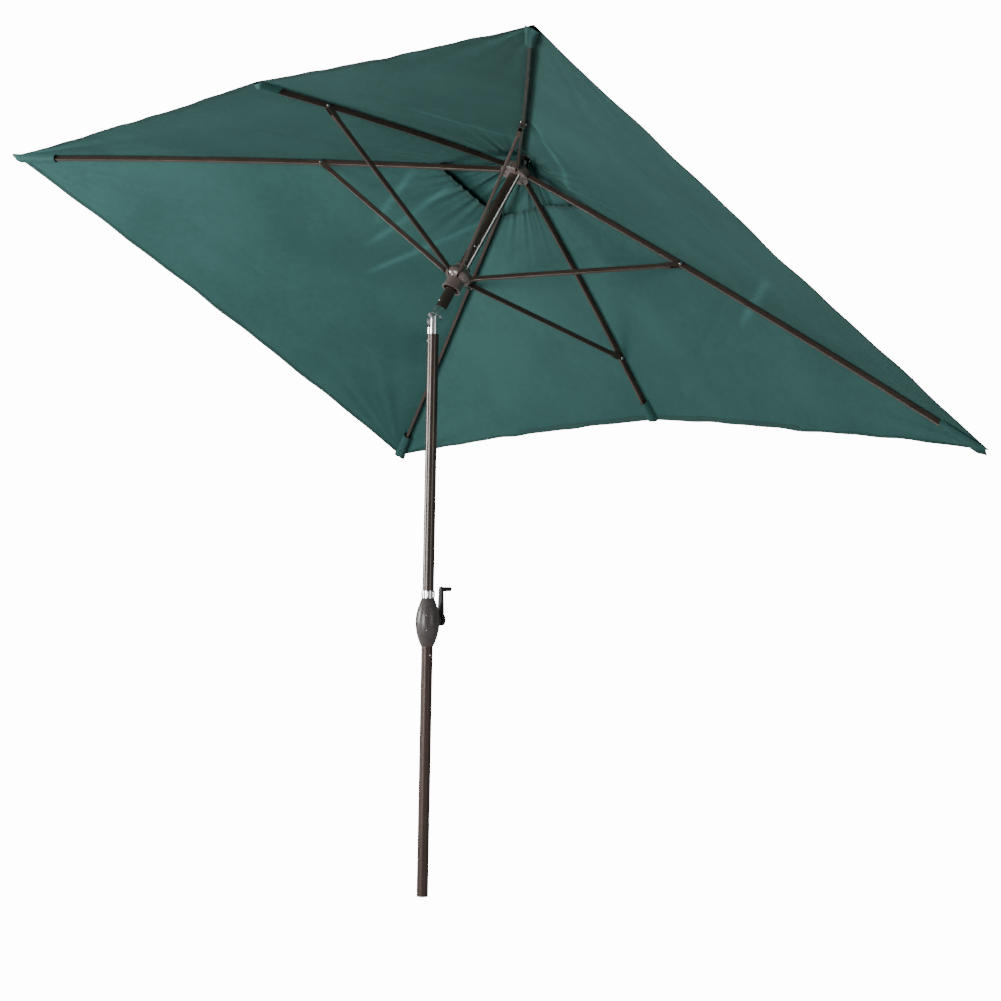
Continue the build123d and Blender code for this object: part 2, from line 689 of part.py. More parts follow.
def make_rib(rib):
    """A hollow bowed tube, closed at both ends, with a flat tang at the hub."""
    shape = bowed_bar(rib, tube_from, rib.length, rib_w, rib_h, rib_corner_r)
    inner_w = rib_w - 2 * rib_wall
    inner_h = rib_h - 2 * rib_wall
    inner_r = rib_corner_r - rib_wall
    shape -= bowed_bar(rib, tube_from + rib_plug, rib.length - rib_plug, inner_w, inner_h, inner_r)
    tang = rod(tang_r, (0, -tang_t / 2, 0), (0, tang_t / 2, 0))
    tang += block(0, tube_from + rib_plug / 2, tang_t / 2, -tang_r, tang_r)
    tang -= rod(pin_d / 2 + shaft_gap, (0, -rib_w, 0), (0, rib_w, 0))
    shape += tang
    across = rod(strut_rivet_d / 2, (rib.rivet_x, -rib_w, rib.rivet_z), (rib.rivet_x, rib_w, rib.rivet_z))
    return shape - across


def make_rivet(rib):
    """The rivet that joins strut to rib, with a domed head at each end."""
    neck = rib_w / 2 + fork_gap + fork_t + head_gap
    tip = neck + strut_rivet_head_h
    shape = rod(strut_rivet_d / 2, (0, -neck, 0), (0, neck, 0))
    for side in (-1, 1):
        head = rod(strut_rivet_head_d / 2, (0, side * neck, 0), (0, side * tip, 0))
        rim = head.edges().sort_by(Axis.Y)[-1 if side > 0 else 0]
        shape += fillet(rim, strut_rivet_head_h * 0.7)
    return Pos(rib.rivet_x, 0, rib.rivet_z) * shape


def make_strut(rib):
    """A hollow tube with a flat eye at the runner and a fork at the rib."""
    length = rib.strut_len
    tube_to = length - fork_block_from + 6
    seat = Plane(origin=(strut_tube_from, 0, 0), x_dir=(0, 1, 0), z_dir=(1, 0, 0))
    outer = RectangleRounded(strut_w, strut_h, rib_corner_r)
    inner = RectangleRounded(
        strut_w - 2 * strut_wall, strut_h - 2 * strut_wall, rib_corner_r - strut_wall
    )
    shape = extrude(seat * (outer - inner), tube_to - strut_tube_from)
    y_half = strut_w / 2 - strut_wall / 2
    z_half = strut_h / 2 - strut_wall / 2
    shape += block(strut_tube_from, strut_tube_from + 8, y_half, -z_half, z_half)
    shape += rod(tang_r, (0, -tang_t / 2, 0), (0, tang_t / 2, 0))
    shape += block(0, strut_tube_from + 6, tang_t / 2, -tang_r, tang_r)
    fork_half = rib_w / 2 + fork_gap + fork_t
    fork = block(length - fork_block_from, length, fork_half, -fork_r, fork_r)
    fork += rod(fork_r, (length, -fork_half, 0), (length, fork_half, 0))
    fork -= block(
        length - fork_block_to, length + 2 * fork_r, rib_w / 2 + fork_gap, -2 * fork_r, 2 * fork_r
    )
    bore = strut_rivet_d / 2 + strut_rivet_gap
    shape += fork
    shape -= rod(bore, (length, -2 * fork_half, 0), (length, 2 * fork_half, 0))
    shape -= rod(pin_d / 2 + eye_gap, (0, -rib_w, 0), (0, rib_w, 0))
    return shape


frames = {name: Rib(*values) for name, values in ribs.items()}
for name, rib in frames.items():
    save(f"rib_{name}", rib.place(make_rib(rib)))
    save(f"rib_rivet_{name}", rib.place(make_rivet(rib)))
    save(f"strut_{name}", rib.place_strut(make_strut(rib)))


# ---------------------------------------------------------------- canopy
def sheet_solid(lower, wraps):
    """A closed solid from a grid of underside points (rows of columns) and the cloth's
    thickness upwards. The columns close into a ring if wraps is true."""
    rows = len(lower)
    columns = len(lower[0])
    upper = [[p + Vector(0, 0, cloth_t) for p in row] for row in lower]
    faces = []

    def quad(a, b, c, d):
        faces.append(Face(Wire.make_polygon([a, b, c])))
        faces.append(Face(Wire.make_polygon([a, c, d])))

    steps = columns if wraps else columns - 1
    for j in range(steps):
        k = (j + 1) % columns
        for i in range(rows - 1):
            quad(upper[i][j], upper[i + 1][j], upper[i + 1][k], upper[i][k])
            quad(lower[i][j], lower[i][k], lower[i + 1][k], lower[i + 1][j])
        quad(lower[0][j], upper[0][j], upper[0][k], lower[0][k])
        quad(lower[-1][j], lower[-1][k], upper[-1][k], upper[-1][j])
    if not wraps:
        for i in range(rows - 1):
            quad(lower[i][0], lower[i + 1][0], upper[i + 1][0], upper[i][0])
            quad(lower[i][-1], upper[i][-1], upper[i + 1][-1], lower[i + 1][-1])
    return Solid(Shell(faces))


def between(rib_a, rib_b, share, across):
    """A point on the cloth between two ribs: straight across at each share of the reach."""
    return rib_a.cloth(share) * (1 - across) + rib_b.cloth(share) * across


def hem(across):
    """The hem's share of the reach, drawn in most half way between two ribs."""
    return 1 - hem_scallop * 4 * across * (1 - across)


ring = list(frames.values())
names = list(frames)
shares = (vent_open, 0.37, 0.58, 0.79)
for n, name in enumerate(names):
    rib = ring[n]
    before = ring[n - 1]
    after = ring[(n + 1) % len(ring)]
    half = 0.5 - seam_gap / canopy_short
    columns = [(before, rib, 1 - half), (before, rib, 0.75), (rib, after, 0.0)]
    columns += [(rib, after, 0.25), (rib, after, half)]
    grid = [[between(a, b, share, s) for a, b, s in columns] for share in shares]
    grid.append([between(a, b, hem(s), s) for a, b, s in columns])
    save(f"canopy_{name}", on_mast(sheet_solid(grid, False)))

rim = []
for n in range(len(ring)):
    for across in (0.0, 0.25, 0.5, 0.75):
        edge = between(ring[n], ring[(n + 1) % len(ring)], vent_rim, across)
        rim.append(edge + Vector(0, 0, vent_lift))
top = []
for point in rim:
    out = Vector(point.X, point.Y, 0).normalized() * vent_ring_r
    top.append(out + Vector(0, 0, hub_z + vent_ring_z))
vent = [[a * (1 - t) + b * t for a, b in zip(top, rim)] for t in (0.0, 0.5, 1.0)]
save("canopy_vent", on_mast(sheet_solid(vent, True)))
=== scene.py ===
import bpy
import json
import numpy as np
from mathutils import Matrix, Vector

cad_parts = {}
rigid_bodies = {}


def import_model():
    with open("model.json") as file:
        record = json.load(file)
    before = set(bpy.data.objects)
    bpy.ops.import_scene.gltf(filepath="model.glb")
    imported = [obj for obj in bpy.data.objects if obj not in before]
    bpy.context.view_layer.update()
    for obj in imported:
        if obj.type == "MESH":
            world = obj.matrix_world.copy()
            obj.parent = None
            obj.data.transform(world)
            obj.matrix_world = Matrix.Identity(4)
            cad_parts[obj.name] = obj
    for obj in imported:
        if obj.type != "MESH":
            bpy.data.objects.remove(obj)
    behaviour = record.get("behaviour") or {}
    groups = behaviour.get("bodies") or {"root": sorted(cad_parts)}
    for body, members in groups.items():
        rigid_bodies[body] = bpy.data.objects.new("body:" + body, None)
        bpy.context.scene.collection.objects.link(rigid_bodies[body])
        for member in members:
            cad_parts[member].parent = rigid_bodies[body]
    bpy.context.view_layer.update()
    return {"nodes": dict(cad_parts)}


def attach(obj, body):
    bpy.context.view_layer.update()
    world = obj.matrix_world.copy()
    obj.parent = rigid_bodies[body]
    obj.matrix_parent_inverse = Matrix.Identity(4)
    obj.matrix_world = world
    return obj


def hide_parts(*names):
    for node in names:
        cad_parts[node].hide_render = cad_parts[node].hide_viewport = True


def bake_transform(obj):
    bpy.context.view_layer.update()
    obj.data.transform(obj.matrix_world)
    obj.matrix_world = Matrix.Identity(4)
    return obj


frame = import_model()


# ---------------------------------------------------------------- pole and mast
# Three steel tubes with a bronze powder coat: the lower one matte, the two above it glossy.
# An inner tube and the tilt knuckle join them, held by plated rivets.
class Value:
    """One shader socket; arithmetic on it makes Math nodes, with a number on either side."""

    def __init__(self, tree, socket):
        self.tree = tree
        self.socket = socket

    def math(self, operation, *others):
        """A Math node of the operation on this value and the others."""
        node = self.tree.nodes.new("ShaderNodeMath")
        node.operation = operation
        for slot, given in zip(node.inputs, (self, *others)):
            if isinstance(given, Value):
                self.tree.links.new(given.socket, slot)
            else:
                slot.default_value = given
        return Value(self.tree, node.outputs[0])

    def __add__(self, other):
        return self.math("ADD", other)

    def __sub__(self, other):
        return self.math("SUBTRACT", other)

    def __mul__(self, other):
        return self.math("MULTIPLY", other)

    def __rsub__(self, other):
        return self.math("MULTIPLY", -1.0) + other

    __radd__ = __add__
    __rmul__ = __mul__

    def ramp(self, low, high):
        """0 at low, 1 at high, smooth between."""
        node = self.tree.nodes.new("ShaderNodeMapRange")
        node.interpolation_type = "SMOOTHSTEP"
        node.inputs["From Min"].default_value = low
        node.inputs["From Max"].default_value = high
        self.tree.links.new(self.socket, node.inputs["Value"])
        return Value(self.tree, node.outputs[0])

    def mix(self, low, high):
        """The colour low where this is 0 and high where it is 1."""
        node = self.tree.nodes.new("ShaderNodeMix")
        node.data_type = "RGBA"
        self.tree.links.new(self.socket, node.inputs[0])
        for slot, given in ((node.inputs[6], low), (node.inputs[7], high)):
            if isinstance(given, Value):
                self.tree.links.new(given.socket, slot)
            else:
                slot.default_value = (*given, 1.0)
        return Value(self.tree, node.outputs[2])


class Surface:
    """A Principled material built up by name."""

    def __init__(self, name, base, roughness, metallic=0.0, **constants):
        self.material = bpy.data.materials.new(name)
        self.material.use_nodes = True
        self.tree = self.material.node_tree
        self.shader = self.tree.nodes["Principled BSDF"]
        self.put("Base Color", base)
        self.put("Roughness", roughness)
        self.put("Metallic", metallic)
        for key, value in constants.items():
            self.put(key.replace("_", " "), value)

    def put(self, name, value):
        """Gives one of the shader's sockets a link, a colour or a number."""
        if isinstance(value, Value):
            self.tree.links.new(value.socket, self.shader.inputs[name])
        elif isinstance(value, tuple):
            self.shader.inputs[name].default_value = (*value, 1.0)
        else:
            self.shader.inputs[name].default_value = value

    def node(self, kind, output=0, **inputs):
        """The named output of a new node whose sockets get the values or links given."""
        made = self.tree.nodes.new("ShaderNode" + kind)
        for key, value in inputs.items():
            slot = made.inputs[key.replace("_", " ")]
            if isinstance(value, Value):
                self.tree.links.new(value.socket, slot)
            else:
                slot.default_value = value
        return Value(self.tree, made.outputs[output])

    def place(self):
        return Value(self.tree, self.tree.nodes.new("ShaderNodeTexCoord").outputs["Object"])

    def attribute(self, name):
        made = self.tree.nodes.new("ShaderNodeAttribute")
        made.attribute_name = name
        return Value(self.tree, made.outputs["Fac"])

    def noise(self, scale, detail=2.0):
        return self.node("TexNoise", 0, Vector=self.place(), Scale=scale, Detail=detail)

    def axis(self, index):
        made = self.tree.nodes.new("ShaderNodeSeparateXYZ")
        self.tree.links.new(self.place().socket, made.inputs[0])
        return Value(self.tree, made.outputs[index])

    def bump(self, height, distance, strength=1.0):
        """Relief of the height, in metres at full strength."""
        self.put("Normal", self.node("Bump", 0, Height=height, Distance=distance, Strength=strength))
        return self


def paint(surface, *names):
    """Gives CAD nodes or made pieces one material."""
    for name in names:
        piece = frame["nodes"].get(name) or bpy.data.objects[name]
        piece.data.materials.clear()
        piece.data.materials.append(surface.material)


TILT = np.radians(31.8)
PIVOT = 1.880
HUB = 0.606


def leaned(p):
    """Row-frame points of mast-frame points: turned about X by the tilt, then raised to the pivot."""
    p = np.asarray(p, float)
    x, y, z = p[..., 0], p[..., 1], p[..., 2]
    c, s = np.cos(TILT), np.sin(TILT)
    return np.stack([x, y * c + z * s, PIVOT + z * c - y * s], -1)


def bronze(name, tone, roughness, coat):
    """Powder coat over steel: slow clouds and fine specks in the tone, a clear coat above."""
    coated = Surface(name, tone, roughness, 0.35, Coat_Roughness=0.12)
    speck = coated.noise(900.0, 3.0)
    cloud = coated.noise(9.0, 3.0)
    dark = tuple(0.72 * c for c in tone)
    coated.put("Base Color", (cloud * 0.7 + speck * 0.3).ramp(0.3, 0.72).mix(dark, tone))
    coated.put("Roughness", cloud * 0.12 + (roughness - 0.06))
    coated.put("Coat Weight", coat)
    return coated.bump(speck, 0.0002, 0.35)


matte_bronze = bronze("bronze_matte_coat", (0.085, 0.052, 0.040), 0.42, 0.10)
gloss_bronze = bronze("bronze_gloss_coat", (0.070, 0.048, 0.035), 0.24, 0.45)
# A lighter copy of the bronze coat: painted light, for how the ribs and struts look where the light
# falls on them.
lit_rib_bronze = bronze("bronze_rib_coat", (0.088, 0.058, 0.045), 0.30, 0.35)
paint(matte_bronze, "lower_pole")
paint(gloss_bronze, "middle_pole", "upper_pole")

# Rivets, pins, screws and springs are bright plated steel.
steel = Surface("plated_steel", (0.62, 0.61, 0.59), 0.24, 1.0)
steel.put("Roughness", steel.noise(140.0) * 0.16 + 0.16)
steel.bump(steel.noise(420.0), 0.0001, 0.3)
paint(steel, "pole_joiner", "pole_rivets", "snap_spring", "snap_button", "tilt_pin", "button_spring")
paint(steel, "mast_rivets", "hub_pins", "pulley_pin", "runner_pins", "runner_screws")
paint(steel, "housing_screws", "crank_screw", "crank_spool")

# ---------------------------------------------------------------- crank housing and crank
# Two satin moulded shells screwed from behind, a plated collar above, a black cranked arm.
shell = Surface("housing_plastic", (0.118, 0.098, 0.094), 0.36, 0.0, Coat_Roughness=0.2)
shell_cloud = shell.noise(26.0)
shell.put("Base Color", shell_cloud.ramp(0.3, 0.7).mix((0.070, 0.056, 0.053), (0.098, 0.082, 0.080)))
shell.put("Roughness", shell_cloud * 0.10 + 0.30)
shell.put("Coat Weight", 0.35)
shell.bump(shell.noise(1300.0), 0.0001, 0.25)
paint(shell, "housing_back", "housing_front")

# The arm, its knob and the foot's plug are black moulded plastic.
black = Surface("black_plastic", (0.016, 0.015, 0.015), 0.38)
black.put("Roughness", black.noise(60.0) * 0.14 + 0.32)
black.bump(black.noise(1500.0), 0.0001, 0.3)
paint(black, "crank_arm", "crank_knob", "foot_plug")

# ---------------------------------------------------------------- tilt knuckle and hubs
# A plated casting that hinges on a pin, with a grey push button; the two hubs, the collar
# and the finial are glossy bronze plastic.
chrome = Surface("chrome", (0.84, 0.84, 0.85), 0.07, 1.0)
chrome.put("Roughness", chrome.noise(45.0) * 0.07 + 0.12)
paint(chrome, "tilt_socket", "tilt_tongue", "housing_collar")

grey = Surface("grey_plastic", (0.30, 0.30, 0.31), 0.4)
grey.put("Roughness", grey.noise(80.0) * 0.12 + 0.34)
paint(grey, "tilt_button", "pulley")

hub_plastic = Surface("bronze_plastic", (0.15, 0.115, 0.102), 0.2, 0.0, Coat_Roughness=0.08)
hub_plastic.put("Roughness", hub_plastic.noise(30.0) * 0.14 + 0.15)
hub_plastic.put("Coat Weight", 0.8)
paint(hub_plastic, "top_hub", "runner_hub", "runner_collar", "finial")

# ---------------------------------------------------------------- ribs and struts
# Six hollow ribs and six struts in the same coat, riveted; the rivets are bright. Their bronze is
# painted lighter than the mast's, as painted light on their lit sides.
NAMES = ["right_low", "mid_low", "left_low", "left_high", "mid_high", "right_high"]
for name in NAMES:
    paint(lit_rib_bronze, f"rib_{name}", f"strut_{name}")
    paint(steel, f"rib_rivet_{name}")

# ---------------------------------------------------------------- lift cord
# A white braided polyester cord, 5 mm, wound on the crank's spool. It runs up inside the
# pole and the mast, over the pulley, and down outside the mast to the runner.
braid = Surface("white_braid", (0.80, 0.80, 0.77), 0.75)
twist = braid.axis(2) * 420.0
around = braid.axis(0) * 900.0
braid_wave = (twist + around).math("SINE") * (twist - around).math("SINE")
# Painted shade: the braid is darker in its grooves, between the strands.
braid.put("Base Color", braid_wave.ramp(-0.9, 0.6).mix((0.60, 0.60, 0.57), (0.84, 0.84, 0.81)))
braid.bump(braid_wave, 0.0003, 0.6)
paint(braid, "cord_lower", "cord_upper")


def swept(name, path, side, ring):
    """A closed bar along (n, 3) row-frame points. Each ring point lies its first number along
    side and its second along the cross product of the path's direction and side."""
    path, side = np.asarray(path, float), np.asarray(side, float)
    along = np.gradient(path, axis=0)
    along /= np.linalg.norm(along, axis=1, keepdims=True)
    cross = np.cross(along, side)
    offset = ring[None, :, :1] * side[:, None, :] + ring[None, :, 1:] * cross[:, None, :]
    points = (path[:, None, :] + offset).reshape(-1, 3)
    sides = len(ring)
    row = np.arange(len(path) - 1)[:, None] * sides
    a = np.arange(sides)[None, :]
    b = (a + 1) % sides
    quads = np.stack([row + a, row + b, row + sides + b, row + sides + a], -1).reshape(-1, 4)
    faces = quads.tolist() + [list(range(sides))[::-1]]
    faces.append([(len(path) - 1) * sides + i for i in range(sides)])
    mesh = bpy.data.meshes.new(name)
    mesh.from_pydata(points.tolist(), [], faces)
    mesh.shade_smooth()
    made = bpy.data.objects.new(name, mesh)
    bpy.context.collection.objects.link(made)
    return made


def round_ring(radius, sides=16):
    turn = np.linspace(0, 2 * np.pi, sides, endpoint=False)
    return np.stack([np.cos(turn), np.sin(turn)], -1) * radius


# ---------------------------------------------------------------- springs
# Spring steel: a coil behind the tilt button and a U-shaped leaf behind the snap button.
# Each has one end against its seat and the other against the button that it pushes out.
COIL_R = 0.004
COIL_WIRE_R = 0.00045
COIL_TURNS = 4.8
COIL_FROM, COIL_TO, COIL_Z = -0.0091, 0.0101, 0.011
coil_turn = np.linspace(0, 2 * np.pi * COIL_TURNS, 200)
coil_y = np.linspace(COIL_FROM, COIL_TO, 200)
coil_side = np.stack([np.cos(coil_turn), 0 * coil_turn, -np.sin(coil_turn)], -1)
coil_line = coil_side * COIL_R + np.stack([0 * coil_y, coil_y, 0 * coil_y + COIL_Z], -1)
coil_out = leaned(coil_side) - leaned([0, 0, 0])
coil = swept("coil_spring", leaned(coil_line), coil_out, round_ring(COIL_WIRE_R, 10))
coil.data.materials.append(steel.material)
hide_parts("button_spring")
ends = leaned([(0, COIL_TO, COIL_Z), (0, COIL_FROM, COIL_Z)])
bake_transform(coil)

LEAF_R = 0.0152
LEAF_Z = 0.743
LEAF_HALF_W, LEAF_HALF_T = 0.0045, 0.0004
bend = np.linspace(0, np.pi, 40)
leaf_x = np.concatenate([np.full(12, -LEAF_R), -LEAF_R * np.cos(bend), np.full(12, LEAF_R)])
leg_z = np.linspace(0.054, 0.002, 12)
leaf_z = LEAF_Z + np.concatenate([leg_z, -LEAF_R * np.sin(bend), leg_z[::-1]])
leaf_line = np.stack([leaf_x, 0 * leaf_x, leaf_z], -1)
leaf_side = np.tile([0.0, 1.0, 0.0], (len(leaf_line), 1))
corners = np.array([(-1, -1), (1, -1), (1, 1), (-1, 1)]) * (LEAF_HALF_W, LEAF_HALF_T)
leaf = swept("leaf_spring", leaf_line, leaf_side, corners)
leaf.data.materials.append(steel.material)
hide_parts("snap_spring")
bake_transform(leaf)

# ---------------------------------------------------------------- cord outside the mast
# From the pulley's slot straight down beside the mast to the knot in the runner, pulled
# taut by the cloth.
CORD_D = 0.005
FALL_X = 0.026
FALL_TOP = HUB + 0.034
FALL_END = HUB - 0.427 + 0.008
fall_z = np.linspace(FALL_TOP, FALL_END, 60)
fall_line = np.stack([0 * fall_z + FALL_X, 0 * fall_z, fall_z], -1)
fall_side = np.tile([1.0, 0.0, 0.0], (60, 1))
lift_cord = swept("lift_cord", leaned(fall_line), fall_side, round_ring(CORD_D / 2))
lift_cord.data.materials.append(braid.material)
ends = leaned([fall_line[0], fall_line[-1]])
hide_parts("cord_fall")
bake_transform(lift_cord)
leaned(fall_line).tolist()

# ---------------------------------------------------------------- canopy cloth
# Dark green woven polyester, one sewn sheet over six ribs, held by a sleeve at each rib's
# tip and by the hub. Every point is placed by its share of the reach (f), its panel and the
# distance across that panel (s), which run on round the hub as one number (u).
HUB_PIN = 0.044
RIB_TOP = 0.009
OVER = 0.0026
CORNER = (1.605, 0.987, 0.483, 0.013)
MIDDLE = (0.0, 0.945, 0.372, 0.008)
TIP_SPARE = 0.026


def rib_values(name):
    """A rib's end in plan, its drop below the hub and its bow."""
    sx = 1 if name.startswith("right") else -1
    x, y, drop, bow = MIDDLE if name.startswith("mid") else CORNER
    sy = 1 if name.endswith("low") else -1
    return np.array([sx * x, sy * y]), drop, bow


def rib_top(name, f):
    """The cloth's underside above a rib at shares f of its reach, in the mast frame."""
    end, drop, bow = rib_values(name)
    reach = np.hypot(*end)
    span = reach - HUB_PIN
    full = np.hypot(span, drop)
    length = full - TIP_SPARE
    slope = drop / span
    along = (reach * f - HUB_PIN) * full / span
    inside = np.clip(along, 0, length)
    radius = (length**2 / 4 + bow**2) / (2 * bow)
    lift = np.sqrt(radius**2 - (inside - length / 2) ** 2) - (radius - bow)
    z = HUB - (reach * f - HUB_PIN) * slope + lift + (RIB_TOP + OVER) * full / span
    r = reach * f
    return np.stack([r * end[0] / reach, r * end[1] / reach, z], -1)


def ruled(u, f):
    """Mast-frame points: straight across each panel between two ribs. u = panel number + s."""
    u = np.asarray(u, float) % 6
    panel = np.floor(u).astype(int) % 6
    s = u - np.floor(u)
    tops = np.stack([rib_top(name, f) for name in NAMES])
    a = np.take_along_axis(tops, panel[None, ..., None], 0)[0]
    b = np.take_along_axis(tops, ((panel + 1) % 6)[None, ..., None], 0)[0]
    return a * (1 - s[..., None]) + b * s[..., None]


CORNER_TIPS = [("right_low", 0.0), ("left_low", 1.7), ("left_high", 3.1), ("right_high", 4.4)]
CREASES = [
    # start x, y, end x, y in the mast frame, height and half width in metres
    (-1.10, 0.55, 0.10, 0.18, 0.0016, 0.016),
    (-0.95, -0.30, -0.20, 0.70, -0.0012, 0.014),
    (0.15, -0.85, 0.75, -0.30, 0.0012, 0.014),
    (-0.55, -0.80, -0.15, -0.25, -0.0012, 0.014),
    (0.35, 0.75, 0.95, 0.35, 0.0014, 0.014),
    (1.25, -0.55, 1.18, 0.60, 0.0012, 0.013),
    (-1.30, -0.60, -1.22, 0.62, 0.0012, 0.013),
]
SHARP = [
    # the same, for sharper folds, which also carry a painted sheen along them
    (-0.30, -0.19, -0.68, -0.05, 0.0016, 0.012),
    (-0.22, -0.06, -0.80, 0.02, 0.0016, 0.012),
    (-0.28, 0.14, -0.92, 0.125, 0.0016, 0.012),
    (0.24, 0.08, 0.46, -0.10, -0.0018, 0.013),
    (0.42, -0.06, 0.66, -0.38, -0.0018, 0.013),
    (0.72, 0.60, 1.30, 0.22, 0.0012, 0.012),
    (0.30, -0.62, 0.34, -0.20, 0.0012, 0.012),
]


def fold(p, line):
    """1 on the fold line and 0 well away from it or past its ends."""
    x0, y0, x1, y1, height, half = line
    way = np.array([x1 - x0, y1 - y0])
    length = np.hypot(*way)
    way = way / length
    dx, dy = p[..., 0] - x0, p[..., 1] - y0
    along = dx * way[0] + dy * way[1]
    aside = -dx * way[1] + dy * way[0]
    fade = np.clip(along / 0.10, 0, 1) * np.clip((length - along) / 0.10, 0, 1)
    return np.exp(-((aside / half) ** 2)) * fade


def cloth_lift(p, u, f):
    """Height added to the ruled surface: slack between ribs, pulls from each tip and from
    the vent, and the fold lines left by packing."""
    s = u - np.floor(u)
    bay = 4 * s * (1 - s)
    lift = -0.012 * bay * np.sin(np.pi * np.clip((f - 0.1) / 0.9, 0, 1))
    for name, phase in CORNER_TIPS:
        end = rib_values(name)[0]
        d = p[..., :2] - end
        far = np.hypot(d[..., 0], d[..., 1])
        angle = np.arctan2(d[..., 1], d[..., 0])
        pull = np.exp(-far / 0.42) * np.clip(far / 0.12, 0, 1)
        wave = np.cos(26 * angle + phase) + 0.6 * np.cos(43 * angle + 2.3 * phase)
        lift += 0.0032 * pull * wave * np.clip(bay * 3, 0, 1)
    turn = np.arctan2(p[..., 1], p[..., 0])
    gather = np.exp(-(f - 0.155) / 0.13)
    lift += 0.0022 * gather * (np.cos(38 * turn + 0.6) + 0.7 * np.cos(61 * turn + 2.0)) * bay
    slack = np.sin(7.3 * p[..., 0] + 2.1) * np.sin(6.1 * p[..., 1] - 1.3 * p[..., 0])
    lift += 0.0030 * slack * bay
    for line in CREASES + SHARP:
        lift += line[4] * fold(p, line) * np.clip(bay * 4, 0, 1)
    flap = np.clip((f - 0.93) / 0.07, 0, 1) ** 2
    lift += flap * bay * (0.0025 * np.cos(2 * np.pi * 5 * s) + 0.0018 * np.cos(2 * np.pi * 8.5 * s + 1))
    return lift


def canopy_points(u, f):
    """The cloth's underside in the mast frame, wrinkles included."""
    flat = ruled(u, f)
    points = flat.copy()
    points[..., 2] += cloth_lift(flat, u, f)
    return points


def hem_share(u):
    """The hem's share of the reach, drawn in most half way between two ribs."""
    s = u - np.floor(u)
    return 1 - 0.012 * 4 * s * (1 - s)


def grid_piece(name, points, material, thickness=0.0, facing=1, values=None):
    """A mesh from an (m, n, 3) grid of row-frame points, given thickness by Solidify."""
    rows, columns = points.shape[:2]
    index = np.arange(rows * columns).reshape(rows, columns)
    a, b, c, d = index[:-1, :-1], index[:-1, 1:], index[1:, 1:], index[1:, :-1]
    order = [a, b, c, d] if facing > 0 else [a, d, c, b]
    faces = np.stack(order, -1).reshape(-1, 4)
    mesh = bpy.data.meshes.new(name)
    mesh.from_pydata(points.reshape(-1, 3).tolist(), [], faces.tolist())
    for key, value in (values or {}).items():
        layer = mesh.attributes.new(key, "FLOAT", "POINT")
        layer.data.foreach_set("value", np.asarray(value, np.float32).ravel())
    mesh.shade_smooth()
    mesh.materials.append(material.material)
    made = bpy.data.objects.new(name, mesh)
    bpy.context.collection.objects.link(made)
    if thickness:
        solid = made.modifiers.new("cloth", "SOLIDIFY")
        solid.thickness = thickness
        solid.offset = 1.0
        solid.use_rim = False
    return made


def cloth_surface(name, deep, light):
    """Matte weave: slow clouds between two greens, and a painted sheen, paler, along sharp creases."""
    cloth = Surface(name, deep, 0.8, 0.0, Specular_IOR_Level=0.22)
    cloud = cloth.noise(2.6, 4.0)
    fine = cloth.noise(46.0, 3.0)
    blend = (cloud * 0.72 + fine * 0.28).ramp(0.34, 0.66)
    sheen = tuple(1.35 * c for c in light)
    # Painted highlight: paler where the painted sheen mask is set, along the sharp folds and the cap's
    # pleats.
    cloth.put("Base Color", cloth.attribute("crease").mix(blend.mix(deep, light), sheen))
    weave_x = (cloth.axis(0) * 5200.0).math("SINE")
    weave_y = ((cloth.axis(1) + cloth.axis(2)) * 4400.0).math("SINE")
    cloth.put("Roughness", fine * 0.10 + 0.66)
    return cloth.bump(weave_x * weave_y * 0.6 + fine, 0.0003, 0.5)


cloth = cloth_surface("green_cloth", (0.025, 0.084, 0.077), (0.034, 0.106, 0.098))
tape = cloth_surface("green_tape", (0.023, 0.066, 0.061), (0.028, 0.080, 0.074))

VENT = 0.155
CLOTH = 0.0006
HEM_W = 0.020
VENT_HEM_SHARE = 0.012
HEM_UNDER = 0.0011
POCKET_LENGTH = {"corner": 0.165, "middle": 0.075}
POCKET_HALF_W = 0.017
POCKET_DEPTH = 0.0235
EASE_BEYOND, EASE_INSIDE = 0.32, 0.30
rows = 150
columns = 130


def follow(piece, name):
    """A middle rib carries its cloth. For a corner rib the way across the seam beside the middle rib is
    worked out but not used: the cloth is only baked in place, not eased or attached to the rib."""
    if name.startswith("mid"):
        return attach(piece, f"rib_{name}")
    corner = rib_values(name)[0]
    seam = np.array([corner[0] / 2, (corner[1] + np.sign(corner[1]) * MIDDLE[1]) / 2])
    seam = seam / np.hypot(*seam)
    away = corner - seam * (corner @ seam)
    away = away / np.hypot(*away)
    near, far = leaned([(*(-EASE_BEYOND * away), HUB), (*(EASE_INSIDE * away), HUB)])
    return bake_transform(piece)


